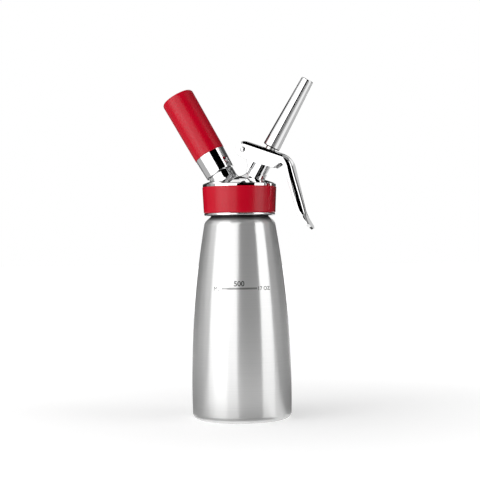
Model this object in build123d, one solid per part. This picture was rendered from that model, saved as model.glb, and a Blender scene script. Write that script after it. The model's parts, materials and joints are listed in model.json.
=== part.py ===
"""Cream whipper: steel bottle, screwed head, lever valve with its nozzle, and gas charger in its holder.

Millimetres, +Z up. The origin is the middle of the foot, on the ground. The head's two bosses lean apart
in the XZ plane from one apex on the Z axis: the valve, lever and nozzle toward +X, the charger and its
holder toward -X. Lengths named "along" are measured from that apex along the boss that the piece is on.
"""

import os
from math import asin, atan2, cos, hypot, pi, radians, sin, sqrt, tan

from build123d import *

# Fits and clearances
run_fit = 0.05
seat_fit = 0.02
grip_fit = 0.05
thread_room = 1.6
fine_thread_room = 0.7
washer_room = 0.2
cut_over = 10.0
dome_flat = 0.6

# Bottle
bottle_radius = 41.55
belly_height = 24.6
bottle_height = 187.5
bottle_wall = 1.0
shoulder_radius = 29.45
shoulder_rise = 4.8
shoulder_round = 10.0
neck_radius = 24.0
neck_height = 18.9
neck_round = 2.0
rim_bead = 1.0
rim_bead_height = 2.0
foot_width = 5.2
foot_round = 5.0
foot_lip_round = 1.5
base_rise = 3.2
base_slope = 4.0

# Head gasket
gasket_thickness = 3.0
gasket_inset = 1.2
gasket_side_room = 0.4
gasket_tab_width = 7.0
gasket_tab_length = 4.0
gasket_tab_thickness = 1.8

# Head
skirt_depth = 21.1
skirt_wall = 2.3
lip_height = 2.0
lip_width = 1.7
lip_round = 0.6
band_height = 21.9
band_bottom_thickness = 2.1
band_top_thickness = 3.15
band_round = 0.8
flange_width = 2.7
flange_height = 2.2
flange_round = 0.9
dome_rise = 6.4
dome_wall = 3.2
cavity_step = 4.6
apex_depth = 13.3
boss_lean = 30.0

# Valve stem, spring and guide
stem_radius = 4.0
stem_bore = 2.2
stem_foot_wall = 1.0
stem_thread_depth = 0.35
stem_thread_length = 8.6
stem_tail_radius = 2.0
port_radius = 1.3
port_count = 4
spring_wire = 0.9
spring_clear = 0.6
spring_turns = 6
spring_end_gap = 0.05
collar_width = 0.7
collar_thickness = 2.4
collar_round = 0.6
valve_stroke = 2.2
boss_stop_gap = 0.5
boss_wall = 1.2
boss_flare = 11.0
boss_flare_along = 31.0
boss_flare_depth = 9.5
boss_edge = 0.4
valve_seat_along = 17.5
chamber_length = 6.5
chamber_room = 1.0
housing_wall = 1.9
bush_length = 9.0
o_ring_wire = 1.3
o_ring_room = 0.1
disc_overlap = 1.8
disc_thickness = 2.2
disc_round = 0.7
disc_seal_thickness = 1.5
disc_nut_flats = 7.0
disc_nut_height = 2.6

# Nozzle
nozzle_length = 63.3
nozzle_tip_radius = 5.15
nozzle_bore = 3.3
nozzle_socket_wall = 2.85
nozzle_plate_gap = 0.7
nozzle_seal_thickness = 1.0
nozzle_edge = 0.8

# Lever
pivot_along = 43.5
pivot_offset = 18.3
pin_radius = 2.25
pin_proud = 0.9
pin_dome = 0.8
sheet = 1.8
cheek_gap = 0.6
plate_above_pin = 5.4
plate_tilt = 10.0
plate_crown = 0.3
plate_start_angle = 36.0
plate_edge_round = 2.6
shoulder_lean = 28.0
shoulder_drop = 3.1
shoulder_round = 6.5
flange_core = 0.8
flange_inner_round = 1.2
lever_edge_round = 0.4
press_gap = 0.2
slot_clear = 0.45
lever_corner = 39.2
handle_bend = 16.0
handle_angle = 56.0
handle_length = 45.4
curl_radius = 50.0
curl_length = 17.5
shaft_half = 6.2
paddle_half = 9.0
paddle_depth = 2.5
paddle_length = 18.0
paddle_flat = 3.0
tip_length = 8.0
tip_over = 0.3
handle_sections = 13
cheek_end = 6.0
cheek_overlap = 0.2
cheek_start_overlap = 4.0
cheek_toe_angle = 40.0
cheek_toe_overlap = 0.3
cheek_depth = 7.4
cheek_low_start = 8.0
cheek_low_end = 29.4
cheek_low_rise = 1.0
cheek_notch = 34.05
cheek_notch_height = 0.1
cheek_belly_round = 18.0
cheek_corner_round = 3.0
cheek_notch_round = 2.5
arm_half_width = 7.0
arm_end_gap = 0.6
arm_plate_gap = 0.9
arm_round = 1.0

# Charger, its seal and its piercing pin
charger_radius = 8.9
charger_length = 65.5
charger_wall = 1.2
charger_neck_radius = 4.3
charger_neck_length = 9.0
charger_shoulder = 8.5
charger_neck_wall = 0.85
charger_cap_thickness = 1.0
recess_depth = 10.5
recess_room = 0.9
charger_seal_thickness = 2.0
needle_radius = 0.9
needle_bore = 0.35
needle_height = 4.4
needle_point = 1.2
needle_room = 0.15
pin_body_radius = 3.4
pin_body_length = 7.0
gas_well_radius = 2.9
gas_well_length = 2.5

# Charger boss and check valve
shoulder_along = 31.9
charger_boss_radius = 11.2
charger_boss_flare = 10.0
charger_boss_flare_along = 26.0
charger_boss_flare_depth = 6.0
charger_thread_radius = 9.9
charger_thread_length = 14.1
charger_thread_edge = 0.8
check_face_along = 19.0
check_housing_radius = 6.0
gas_port_radius = 0.5
gas_port_circle = 2.3
gas_port_count = 3
flap_radius = 4.6
flap_thickness = 1.4
check_screw_radius = 1.2
check_screw_length = 5.0
check_head_radius = 1.8
check_head_height = 1.6
check_head_round = 0.8

# Charger holder
holder_rim_gap = 0.5
holder_rim_wall = 1.85
holder_rim_round = 0.7
holder_skirt_length = 18.1
holder_skirt_wall = 2.5
holder_thread_length = 15.0
holder_wall = 2.0
holder_room = 0.5
holder_end_gap = 0.1
holder_end_wall = 1.5
grip_start_thickness = 2.05
grip_top_thickness = 2.7
grip_end_wall = 3.5
grip_end_crown = 0.8
grip_end_round = 2.6
grip_start_round = 0.5

# Heights of the bottle and head
shoulder_z = bottle_height - neck_height - shoulder_rise
neck_z = bottle_height - neck_height
ledge_z = bottle_height + gasket_thickness
skirt_z = ledge_z - skirt_depth
band_z = skirt_z + lip_height
band_top_z = band_z + band_height
flange_z = band_top_z + flange_height
dome_z = flange_z + dome_rise
apex_z = ledge_z - apex_depth

# Radii of the head
head_bore = neck_radius + thread_room
band_seat = head_bore + skirt_wall
lip_radius = band_seat + lip_width
flange_radius = band_seat + flange_width
cavity_radius = head_bore - cavity_step

# Radii round the valve axis
spring_radius = stem_radius + spring_clear + spring_wire / 2
spring_bore = spring_radius + spring_wire / 2 + spring_clear
boss_radius = spring_bore + boss_wall
collar_radius = spring_radius + spring_wire / 2 + collar_width
chamber_radius = stem_radius + chamber_room
housing_radius = spring_bore + housing_wall
disc_radius = chamber_radius + disc_overlap
stem_thread = stem_radius - stem_thread_depth
nozzle_socket = stem_thread + fine_thread_room
nozzle_base_radius = nozzle_socket + nozzle_socket_wall
lever_inner = boss_radius + cheek_gap
lever_half = lever_inner + sheet
arm_sweep = pivot_offset - boss_radius

# Places along the valve axis
tilt_rise = tan(radians(plate_tilt))
plate_top = plate_above_pin + sheet
flange_depth = plate_top - flange_core
plate_under_along = pivot_along + plate_above_pin / cos(radians(plate_tilt))
plate_top_along = pivot_along + plate_top / cos(radians(plate_tilt))
collar_top = plate_under_along + (pivot_offset - collar_radius) * tilt_rise - press_gap
collar_foot = collar_top - collar_thickness
boss_top = collar_foot - valve_stroke - boss_stop_gap
nozzle_along = plate_top_along + (pivot_offset + nozzle_base_radius) * tilt_rise + nozzle_plate_gap
stem_top = nozzle_along + stem_thread_length
socket_end = stem_top + nozzle_seal_thickness
nozzle_tip = nozzle_along + nozzle_length
bush_along = valve_seat_along + chamber_length
bush_top = bush_along + bush_length
disc_top = valve_seat_along - disc_seal_thickness
disc_foot = disc_top - disc_thickness
stem_foot = disc_foot - disc_nut_height
o_ring_along = bush_along + bush_length / 2
o_ring_groove = stem_radius + o_ring_wire + o_ring_room
o_ring_radius = stem_radius + (o_ring_wire + o_ring_room) / 2

# Places along the charger axis
thread_end = shoulder_along + charger_thread_length
recess_floor = thread_end - recess_depth
charger_tip = recess_floor + charger_seal_thickness
charger_end = charger_tip + charger_length
holder_rim = shoulder_along + holder_rim_gap
grip_start = holder_rim + holder_skirt_length
holder_thread_end = holder_rim + holder_thread_length
holder_floor = charger_end + holder_end_gap
holder_end = holder_floor + holder_end_wall
grip_end = holder_end + grip_end_wall
pin_foot = recess_floor - pin_body_length
gas_well_foot = pin_foot - gas_well_length
recess_radius = charger_neck_radius + recess_room
seal_hole = needle_radius + needle_room

# Radii of the charger holder
holder_bore = charger_thread_radius + fine_thread_room
holder_rim_radius = holder_bore + holder_rim_wall
holder_skirt_radius = holder_bore + holder_skirt_wall
holder_chamber = charger_radius + holder_room
grip_seat = holder_chamber + holder_wall
grip_bore = grip_seat + grip_fit
grip_start_radius = grip_seat + grip_start_thickness
grip_top_radius = grip_seat + grip_top_thickness

# Frames: each boss has its own, with Z outward along the boss and Y across the object
lean = radians(boss_lean)
apex = (0, 0, apex_z)
valve_frame = Plane(origin=apex, x_dir=(cos(lean), 0, -sin(lean)), z_dir=(sin(lean), 0, cos(lean)))
charger_frame = Plane(origin=apex, x_dir=(cos(lean), 0, sin(lean)), z_dir=(-sin(lean), 0, cos(lean)))
pivot = valve_frame.from_local_coords((-pivot_offset, 0, pivot_along))
slope = radians(boss_lean - plate_tilt)
lever_frame = Plane(origin=pivot, x_dir=(cos(slope), 0, -sin(slope)), z_dir=(sin(slope), 0, cos(slope)))


def rounded_face(edges, rounds=()):
    """A flat face in XY from its edges; rounds lists (corner, radius)."""
    face = make_face(edges)
    for corner, radius in rounds:
        vertex = face.vertices().sort_by_distance((*corner, 0))[0]
        face = fillet(vertex, radius)
    return face


def spun(edges, rounds=()):
    """A solid of revolution about Z from half an outline drawn as (radius, height)."""
    return revolve(Plane.XZ * rounded_face(edges, rounds), Axis.Z)


def turned(*outline):
    """A turned piece from (radius, height) corners; a third number rounds that corner."""
    corners = [point[:2] for point in outline]
    rounds = [(point[:2], point[2]) for point in outline if len(point) == 3]
    return spun(Polyline(*corners, close=True), rounds)


def rod(radius, foot, top):
    """A plain round bar or drilled hole about Z."""
    return turned((0, foot), (radius, foot), (radius, top), (0, top))


def cross_rod(x, z, radius, half_length):
    """A round bar or hole along Y."""
    return Pos(x, 0, z) * Rot(X=90) * Cylinder(radius, 2 * half_length)


def side_plate(face, half_width):
    """A face drawn as (x, z) made as thick as twice the half width, evenly to both sides of the XZ plane."""
    return extrude(Plane.XZ * face, amount=half_width, both=True)


def side_radius(z):
    """The bottle's radius at a height on its side, which is one long arc widest at the belly."""
    swell = bottle_radius - shoulder_radius
    rise = shoulder_z - belly_height
    curve = (rise**2 + swell**2) / (2 * swell)
    return bottle_radius - curve + sqrt(curve**2 - (z - belly_height) ** 2)


def make_bottle():
    """Drawn from sheet: dished foot, one long arc up the side, round shoulder, neck with a rolled rim."""
    corner = side_radius(0)
    foot = corner - foot_round - foot_width
    middle = shoulder_z / 2
    outside = Wire(
        [
            Edge.make_line((0, base_rise), (foot - base_slope, base_rise)),
            Edge.make_line((foot - base_slope, base_rise), (foot, 0)),
            Edge.make_line((foot, 0), (corner, 0)),
            Edge.make_three_point_arc(
                (corner, 0), (side_radius(middle), middle), (shoulder_radius, shoulder_z)
            ),
            Edge.make_line((shoulder_radius, shoulder_z), (neck_radius, neck_z)),
            Edge.make_line((neck_radius, neck_z), (neck_radius, bottle_height)),
        ]
    )
    rounds = [
        ((foot - base_slope, base_rise), foot_round),
        ((foot, 0), foot_lip_round),
        ((corner, 0), foot_round),
        ((shoulder_radius, shoulder_z), shoulder_round),
        ((neck_radius, neck_z), neck_round),
    ]
    for spot, radius in rounds:
        vertex = outside.vertices().sort_by_distance((*spot, 0))[0]
        outside = outside.fillet_2d(radius, [vertex])
    wall = Face(outside.offset_2d(bottle_wall, side=Side.LEFT))
    shell = revolve(Plane.XZ * wall, Axis.Z)
    bead_radius = neck_radius + rim_bead
    bead_round = rim_bead_height / 2 - run_fit
    bead = turned(
        (neck_radius - bottle_wall, bottle_height - rim_bead_height),
        (bead_radius, bottle_height - rim_bead_height, bead_round),
        (bead_radius, bottle_height, bead_round),
        (neck_radius - bottle_wall, bottle_height),
    )
    return shell + bead


def make_head_gasket():
    """Silicone ring between rim and head, with a tab to pull it out by."""
    outer = head_bore - gasket_side_room
    inner = neck_radius - bottle_wall - gasket_inset
    ring = turned((inner, bottle_height), (outer, bottle_height), (outer, ledge_z), (inner, ledge_z))
    tab = Pos(gasket_tab_length / 2 - inner, 0, bottle_height + gasket_tab_thickness / 2) * Box(
        gasket_tab_length + gasket_inset, gasket_tab_width, gasket_tab_thickness
    )
    return ring + tab


def dome_edge(peak, radius, rise):
    """Half a dome's outline, from a small flat in its middle down the arc to its edge."""
    drop = (radius**2 + rise**2 - dome_flat**2) / (2 * rise)
    curve = hypot(dome_flat, drop)
    half = (atan2(dome_flat, drop) + atan2(radius, drop - rise)) / 2
    middle = (curve * sin(half), peak - drop + curve * cos(half))
    flat = Line((0, peak), (dome_flat, peak))
    return [flat, ThreePointArc((dome_flat, peak), middle, (radius, peak - rise))]


def head_body():
    """The head's outside, still filled: lip, band seat, flange and dome."""
    edges = [
        Line((0, skirt_z), (0, dome_z)),
        *dome_edge(dome_z, flange_radius, dome_rise),
        Line((flange_radius, flange_z), (flange_radius, band_top_z)),
        Line((flange_radius, band_top_z), (band_seat, band_top_z)),
        Line((band_seat, band_top_z), (band_seat, band_z)),
        Line((band_seat, band_z), (lip_radius, band_z)),
        Line((lip_radius, band_z), (lip_radius, skirt_z)),
        Line((lip_radius, skirt_z), (0, skirt_z)),
    ]
    rounds = [
        ((flange_radius, flange_z), flange_round),
        ((lip_radius, band_z), lip_round),
        ((lip_radius, skirt_z), lip_round),
    ]
    return spun(edges, rounds)


def head_cavity():
    """The room inside the head: the screwed bore, the gasket's ledge and the hollow under the dome."""
    inner_peak = dome_z - dome_wall
    inner_rise = dome_rise * (cavity_radius / flange_radius) ** 2
    edges = [
        Line((0, inner_peak), (0, skirt_z)),
        Line((0, skirt_z), (head_bore, skirt_z)),
        Line((head_bore, skirt_z), (head_bore, ledge_z)),
        Line((head_bore, ledge_z), (cavity_radius, ledge_z)),
        Line((cavity_radius, ledge_z), (cavity_radius, inner_peak - inner_rise)),
        *dome_edge(inner_peak, cavity_radius, inner_rise),
    ]
    return spun(edges)


def flared_boss(radius, top, flare, flare_along, flare_depth, edge):
    """A round boss that runs out into the dome on a concave sweep."""
    foot = flare_along - flare_depth
    foot_radius = radius + flare - sqrt(flare**2 - flare_depth**2)
    middle = flare_along - flare_depth / 2
    middle_radius = radius + flare - sqrt(flare**2 - flare_depth**2 / 4)
    edges = [
        Line((0, top), (0, foot)),
        Line((0, foot), (foot_radius, foot)),
        ThreePointArc((foot_radius, foot), (middle_radius, middle), (radius, flare_along)),
        Line((radius, flare_along), (radius, top)),
        Line((radius, top), (0, top)),
    ]
    boss = spun(edges)
    return chamfer(boss.faces().sort_by(Axis.Z)[-1].edges(), edge)


def pivot_arm():
    """The arm from the valve boss to the lever's pin, drawn in the valve frame."""
    radius = plate_above_pin - arm_plate_gap
    root = boss_radius - boss_wall
    run = pivot_offset - root
    rise = boss_top - pivot_along
    fall = asin(radius / hypot(run, rise)) - atan2(rise, run)
    crest = (radius * sin(fall) - pivot_offset, pivot_along + radius * cos(fall))
    low = pivot_along - radius
    meet = low - arm_sweep
    half = arm_sweep * sin(pi / 4)
    sweep_end = (arm_sweep - pivot_offset, meet)
    edges = [
        Line((-root, boss_top), crest),
        ThreePointArc(crest, (-pivot_offset - radius, pivot_along), (-pivot_offset, low)),
        ThreePointArc((-pivot_offset, low), (half - pivot_offset, meet + half), sweep_end),
        Line(sweep_end, (-root, meet)),
        Line((-root, meet), (-root, boss_top)),
    ]
    arm = side_plate(make_face(edges), arm_half_width)
    sides = arm.faces().sort_by(Axis.Y)
    outline = [edge for side in (sides[0], sides[-1]) for edge in side.edges()]
    root_edges = arm.faces().sort_by(Axis.X)[-1].edges()
    arm = fillet([edge for edge in outline if edge not in root_edges], arm_round)
    return arm + cross_rod(-pivot_offset, pivot_along, radius, lever_inner - arm_end_gap)


def valve_bores():
    """What is drilled along the valve axis, with the hole for the lever's pin."""
    spring_room = rod(spring_bore, bush_along, boss_top + valve_stroke)
    chamber = rod(chamber_radius, valve_seat_along - valve_stroke, bush_along)
    pin_hole = cross_rod(-pivot_offset, pivot_along, pin_radius + seat_fit, lever_half)
    return spring_room + chamber + pin_hole


def charger_bores():
    """What is drilled along the charger axis: recess, pin seat, gas well, gas ports and screw hole."""
    recess = rod(recess_radius, recess_floor, thread_end + cut_over)
    pin_seat = rod(pin_body_radius + seat_fit, pin_foot, recess_floor)
    gas_well = rod(gas_well_radius, gas_well_foot, pin_foot)
    flap_foot = check_face_along - flap_thickness
    port = rod(gas_port_radius, flap_foot, gas_well_foot + gas_well_length / 2)
    ports = PolarLocations(gas_port_circle, gas_port_count) * port
    screw_hole = rod(check_screw_radius + seat_fit, flap_foot, check_face_along + check_screw_length)
    return [recess, pin_seat, gas_well, *ports, screw_hole]


def make_head_casting():
    """The polished head: skirt and dome with the flared valve and charger bosses and the lever's arm."""
    valve_boss = flared_boss(boss_radius, boss_top, boss_flare, boss_flare_along, boss_flare_depth, boss_edge)
    charger_boss = flared_boss(
        charger_boss_radius,
        shoulder_along,
        charger_boss_flare,
        charger_boss_flare_along,
        charger_boss_flare_depth,
        boss_edge,
    )
    charger_spigot = turned(
        (0, charger_boss_flare_along),
        (charger_thread_radius, charger_boss_flare_along),
        (charger_thread_radius, thread_end, charger_thread_edge),
        (0, thread_end),
    )
    head = head_body() + valve_frame * (valve_boss + pivot_arm())
    head += charger_frame * (charger_boss + charger_spigot)
    head -= head_cavity()
    head += valve_frame * rod(housing_radius, valve_seat_along, bush_top)
    head += charger_frame * rod(check_housing_radius, check_face_along, pin_foot)
    head -= valve_frame * valve_bores()
    return head - [charger_frame * bore for bore in charger_bores()]


def make_grip_band():
    """Silicone band in its seat round the head, a little wider at the top."""
    return turned(
        (band_seat + grip_fit, band_z),
        (band_seat + band_bottom_thickness, band_z, band_round),
        (band_seat + band_top_thickness, band_top_z, band_round),
        (band_seat + grip_fit, band_top_z),
    )


def make_valve_stem():
    """Hollow stem: tail for the disc, ported foot, shank, collar under the lever, thread for the nozzle."""
    foot_radius = stem_bore + stem_foot_wall
    stem = turned(
        (0, stem_foot),
        (stem_tail_radius, stem_foot),
        (stem_tail_radius, valve_seat_along),
        (foot_radius, valve_seat_along),
        (foot_radius, bush_along - run_fit),
        (stem_radius, bush_along + chamber_room),
        (stem_radius, collar_foot),
        (collar_radius, collar_foot),
        (collar_radius, collar_top, collar_round),
        (stem_radius, collar_top),
        (stem_radius, nozzle_along - washer_room),
        (stem_thread, nozzle_along),
        (stem_thread, stem_top, stem_thread_depth),
        (0, stem_top),
    )
    port_along = valve_seat_along + chamber_length / 2
    port = Pos(0, 0, port_along) * Rot(Y=90) * Pos(0, 0, stem_radius / 2) * Cylinder(port_radius, stem_radius)
    ports = [Rot(Z=360 * k / port_count) * port for k in range(port_count)]
    bore = rod(stem_bore, valve_seat_along + stem_foot_wall, stem_top + cut_over)
    return stem - [bore, *ports]


def make_stem_bush():
    """Guide bush pressed into the valve boss, with the groove for the stem's O-ring."""
    bush_radius = spring_bore - seat_fit
    bore = stem_radius + run_fit
    half_groove = (o_ring_wire + o_ring_room) / 2
    return turned(
        (bore, bush_along),
        (bush_radius, bush_along),
        (bush_radius, bush_top),
        (bore, bush_top),
        (bore, o_ring_along + half_groove),
        (o_ring_groove, o_ring_along + half_groove),
        (o_ring_groove, o_ring_along - half_groove),
        (bore, o_ring_along - half_groove),
    )


def make_stem_seal():
    """O-ring in the bush."""
    return Pos(0, 0, o_ring_along) * Torus(o_ring_radius, o_ring_wire / 2)


def spring_point(turn):
    """A point of the spring's middle line and its direction there, after so many turns."""
    low = bush_top + spring_wire / 2 + spring_end_gap
    rise = (collar_foot - bush_top - spring_wire - 2 * spring_end_gap) / spring_turns
    angle = 2 * pi * turn
    point = Vector(spring_radius * cos(angle), spring_radius * sin(angle), low + rise * turn)
    way = Vector(-2 * pi * spring_radius * sin(angle), 2 * pi * spring_radius * cos(angle), rise)
    return point, way.normalized()


def biarc(start, end):
    """Two arcs that leave one point and reach the other along the given directions."""
    (p0, t0), (p1, t1) = start, end
    chord = p1 - p0
    both = t0 + t1
    spread = 2 * (1 - t0.dot(t1))
    along = chord.dot(both)
    reach = (sqrt(along**2 + spread * chord.dot(chord)) - along) / spread
    first = p0 + t0 * reach
    second = p1 - t1 * reach
    middle = (first + second) * 0.5
    return [Edge.make_tangent_arc(p0, t0, middle), Edge.make_tangent_arc(middle, second - first, p1)]


def make_valve_spring():
    """Compression spring round the stem, one unbroken wire on half-turn biarcs."""
    halves = [spring_point(k / 2) for k in range(2 * spring_turns + 1)]
    arcs = [arc for pair in zip(halves, halves[1:]) for arc in biarc(*pair)]
    path = Wire(arcs)
    start, way = halves[0]
    section = Plane(origin=start, z_dir=way) * Circle(spring_wire / 2)
    return sweep(section, path=path)


def spring_gap():
    """The least gap between neighbouring turns of the spring, measured on points."""
    steps = 24
    points = [spring_point(k / steps)[0] for k in range(steps * spring_turns + 1)]
    apart = steps // 2
    pairs = [(a, b) for k, a in enumerate(points) for b in points[k + apart :]]
    return min((b - a).length for a, b in pairs) - spring_wire


def make_disc_seal():
    """Rubber ring that closes on the valve seat."""
    hole = stem_tail_radius + run_fit
    return turned(
        (hole, disc_top), (disc_radius, disc_top), (disc_radius, valve_seat_along), (hole, valve_seat_along)
    )


def make_valve_disc():
    """Steel disc that carries the seal."""
    hole = stem_tail_radius + run_fit
    return turned(
        (hole, disc_foot), (disc_radius, disc_foot, disc_round), (disc_radius, disc_top), (hole, disc_top)
    )


def make_disc_nut():
    """Hexagon nut on the stem's tail."""
    hexagon = RegularPolygon(disc_nut_flats / 2, 6, major_radius=False)
    return Pos(0, 0, stem_foot) * extrude(hexagon - Circle(stem_tail_radius + run_fit), disc_nut_height)


def make_nozzle():
    """Straight tapered nozzle with its screwed socket and outlet."""
    return turned(
        (nozzle_socket, nozzle_along),
        (nozzle_base_radius, nozzle_along, nozzle_edge),
        (nozzle_tip_radius, nozzle_tip, nozzle_edge),
        (nozzle_bore, nozzle_tip),
        (nozzle_bore, socket_end),
        (nozzle_socket, socket_end),
    )


def make_nozzle_seal():
    """Washer between the stem's end and the socket's floor."""
    outer = nozzle_socket - washer_room
    inner = stem_bore
    return turned((inner, stem_top), (outer, stem_top), (outer, socket_end), (inner, socket_end))


def make_lever_pin():
    """Pin through the arm and both cheeks, with domed ends."""
    end = lever_half + pin_proud
    edges = [
        Line((0, 0), (pin_radius, 0)),
        Line((pin_radius, 0), (pin_radius, end - pin_dome)),
        *dome_edge(end, pin_radius, pin_dome),
        Line((0, end), (0, 0)),
    ]
    half = spun(edges)
    return Pos(-pivot_offset, 0, pivot_along) * Rot(X=90) * (half + mirror(half, Plane.XY))


def lever_paths():
    """The lever's top middle line: over the pin to the bend's end, then the handle to its curled tip."""
    start = radians(90 + plate_start_angle)
    half = radians(90 + plate_start_angle / 2)
    turn = radians(handle_angle)
    tangent = handle_bend * tan(turn / 2)
    corner = Vector(lever_corner, 0, plate_top)
    down = Vector(cos(turn), 0, -sin(turn))
    bend_start = corner - Vector(tangent, 0, 0)
    bend_end = corner + down * tangent
    curl_start = corner + down * handle_length
    curl_turn = curl_length / curl_radius
    curl_way = turn - curl_turn / 2
    chord = 2 * curl_radius * sin(curl_turn / 2)
    curl_end = curl_start + Vector(cos(curl_way), 0, -sin(curl_way)) * chord
    over_pin = Edge.make_three_point_arc(
        (plate_top * cos(start), 0, plate_top * sin(start)),
        (plate_top * cos(half), 0, plate_top * sin(half)),
        (0, 0, plate_top),
    )
    plate = Wire(
        [
            over_pin,
            Edge.make_line((0, 0, plate_top), bend_start),
            Edge.make_tangent_arc(bend_start, (1, 0, 0), bend_end),
        ]
    )
    handle = Wire(
        [
            Edge.make_line(bend_end, curl_start),
            Edge.make_tangent_arc(curl_start, down, curl_end),
        ]
    )
    return plate, handle


def lever_section(half, depth):
    """A channel of sheet: crowned across, with soft shoulders and edges turned down to a depth."""
    size = depth / flange_depth
    crown = plate_crown * size
    inner = half - sheet
    inner_top = -crown - sheet
    inner_size = (depth + inner_top) / (flange_depth - plate_crown - sheet)
    shoulder = half - shoulder_drop * size * tan(radians(shoulder_lean))
    knee = -crown - shoulder_drop * size
    edges = [
        ThreePointArc((-shoulder, -crown), (0, 0), (shoulder, -crown)),
        Polyline((shoulder, -crown), (half, knee), (half, -depth), (inner, -depth), (inner, inner_top)),
        ThreePointArc((inner, inner_top), (0, -sheet), (-inner, inner_top)),
        Polyline((-inner, inner_top), (-inner, -depth), (-half, -depth), (-half, knee), (-shoulder, -crown)),
    ]
    rounds = []
    for side in (-1, 1):
        rounds += [
            ((side * shoulder, -crown), plate_edge_round * size),
            ((side * half, knee), shoulder_round * size),
            ((side * half, -depth), lever_edge_round * size),
            ((side * inner, inner_top), flange_inner_round * inner_size),
        ]
    return rounded_face(edges, rounds)


def ease(share):
    """A smooth step from 0 to 1."""
    share = min(max(share, 0), 1)
    return share * share * (3 - 2 * share)


def lever_handle(path):
    """The handle: the plate's section drawn in to a slim shaft, which widens and flattens to a paddle."""
    sections = []
    shaft_length = path.length - paddle_length
    for number in range(handle_sections + 1):
        place = number / handle_sections
        along = place * path.length
        neck = ease(along / shaft_length)
        paddle = ease((along - shaft_length) / (paddle_length - paddle_flat))
        half = lever_half + (shaft_half - lever_half) * neck + (paddle_half - shaft_half) * paddle
        depth = flange_depth + (paddle_depth - flange_depth) * paddle
        frame = Plane(origin=path @ place, x_dir=(0, 1, 0), z_dir=path % place)
        sections.append(frame * lever_section(half, depth))
    return loft(sections)


def lever_cheek():
    """A cheek's outline in the lever frame: round at the pin, deep beside the boss, rising to the handle."""
    shoulder_foot = plate_crown + shoulder_drop + shoulder_round * tan(radians(shoulder_lean / 2))
    inset = shoulder_foot + cheek_overlap
    top = plate_top - inset
    bend_x = lever_corner - handle_bend * tan(radians(handle_angle / 2))
    bend_z = plate_top - handle_bend
    reach = handle_bend - inset
    toe = radians(cheek_toe_angle)
    toe_reach = handle_bend - flange_depth + cheek_toe_overlap
    bend_middle = (bend_x + reach * sin(toe / 2), bend_z + reach * cos(toe / 2))
    toe_top = (bend_x + reach * sin(toe), bend_z + reach * cos(toe))
    toe_foot = (bend_x + toe_reach * sin(toe), bend_z + toe_reach * cos(toe))
    start = radians(90 + plate_start_angle - cheek_start_overlap)
    end_top = (cheek_end * cos(start), cheek_end * sin(start))
    end_foot = (top * cos(start), top * sin(start))
    notch = (cheek_notch, cheek_notch_height)
    low_end = (cheek_low_end, cheek_low_rise - cheek_depth)
    low_start = (cheek_low_start, -cheek_depth)
    edges = [
        Polyline(end_top, end_foot, (0, top), (bend_x, top)),
        ThreePointArc((bend_x, top), bend_middle, toe_top),
        Polyline(toe_top, toe_foot, notch, low_end, low_start, (0, -cheek_end)),
        ThreePointArc((0, -cheek_end), (-cheek_end, 0), end_top),
    ]
    rounds = [(notch, cheek_notch_round), (low_end, cheek_corner_round), (low_start, cheek_belly_round)]
    return rounded_face(edges, rounds)


def lever_slot():
    """Slot in the plate for the stem, long enough for the plate's slip across it over the lever's travel."""
    middle_along = (plate_under_along + plate_top_along) / 2 + pivot_offset * tilt_rise - pivot_along
    tilt = radians(plate_tilt)
    rest = pivot_offset * cos(tilt) + middle_along * sin(tilt)
    slip = rest - pivot_offset
    slot = SlotCenterToCenter(slip, 2 * (stem_radius + slot_clear))
    return Pos((rest + pivot_offset) / 2, 0, plate_above_pin - sheet) * extrude(slot, cut_over)


def tip_cutter(path):
    """What is cut away to round the handle's tip."""
    end_frame = Plane(origin=path @ 1, x_dir=(0, 1, 0), z_dir=path % 1)
    reach = paddle_depth + cut_over
    blank = Pos(0, 0, -tip_length / 2) * Box(2 * (paddle_half + cut_over), 2 * reach, tip_length)
    round_end = extrude(Ellipse(paddle_half + tip_over, tip_length), reach, both=True)
    return end_frame.location * (blank - Pos(0, 0, -tip_length) * Rot(X=90) * round_end)


def make_lever():
    """Pressed lever: a swept plate, a lofted handle, two cheeks, the stem's slot and the pin holes."""
    plate, handle = lever_paths()
    start_frame = Plane(origin=plate @ 0, x_dir=(0, 1, 0), z_dir=plate % 0)
    lever = sweep(start_frame * lever_section(lever_half, flange_depth), path=plate) + lever_handle(handle)
    cheek = Pos(0, lever_half, 0) * extrude(Plane.XZ * lever_cheek(), sheet)
    cheek = fillet(cheek.faces().sort_by(Axis.Y)[-1].edges(), lever_edge_round)
    lever += cheek + mirror(cheek, Plane.XZ)
    lever -= lever_slot()
    lever -= cross_rod(0, 0, pin_radius + run_fit, 2 * lever_half)
    return lever - tip_cutter(handle)


def make_piercing_pin():
    """Screwed-in pin: a body in the boss and a hollow needle that stands up into the charger."""
    tip = recess_floor + needle_height
    return turned(
        (needle_bore, pin_foot),
        (pin_body_radius, pin_foot),
        (pin_body_radius, recess_floor),
        (needle_radius, recess_floor),
        (needle_radius, tip - needle_point),
        (needle_bore + run_fit, tip),
        (needle_bore, tip),
    )


def make_charger_seal():
    """Ring in the recess that the charger's neck is pressed on."""
    outer = recess_radius - seat_fit
    return turned(
        (seal_hole, recess_floor), (outer, recess_floor), (outer, charger_tip), (seal_hole, charger_tip)
    )


def make_check_flap():
    """Rubber flap over the gas ports."""
    hole = check_screw_radius + run_fit
    top = check_face_along
    foot = top - flap_thickness
    return turned((hole, foot), (flap_radius, foot), (flap_radius, top), (hole, top))


def make_check_screw():
    """Screw that holds the flap by its middle."""
    seat = check_face_along - flap_thickness
    return turned(
        (0, seat - check_head_height),
        (check_head_radius, seat - check_head_height, check_head_round),
        (check_head_radius, seat),
        (check_screw_radius, seat),
        (check_screw_radius, seat + check_screw_length),
        (0, seat + check_screw_length),
    )


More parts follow.
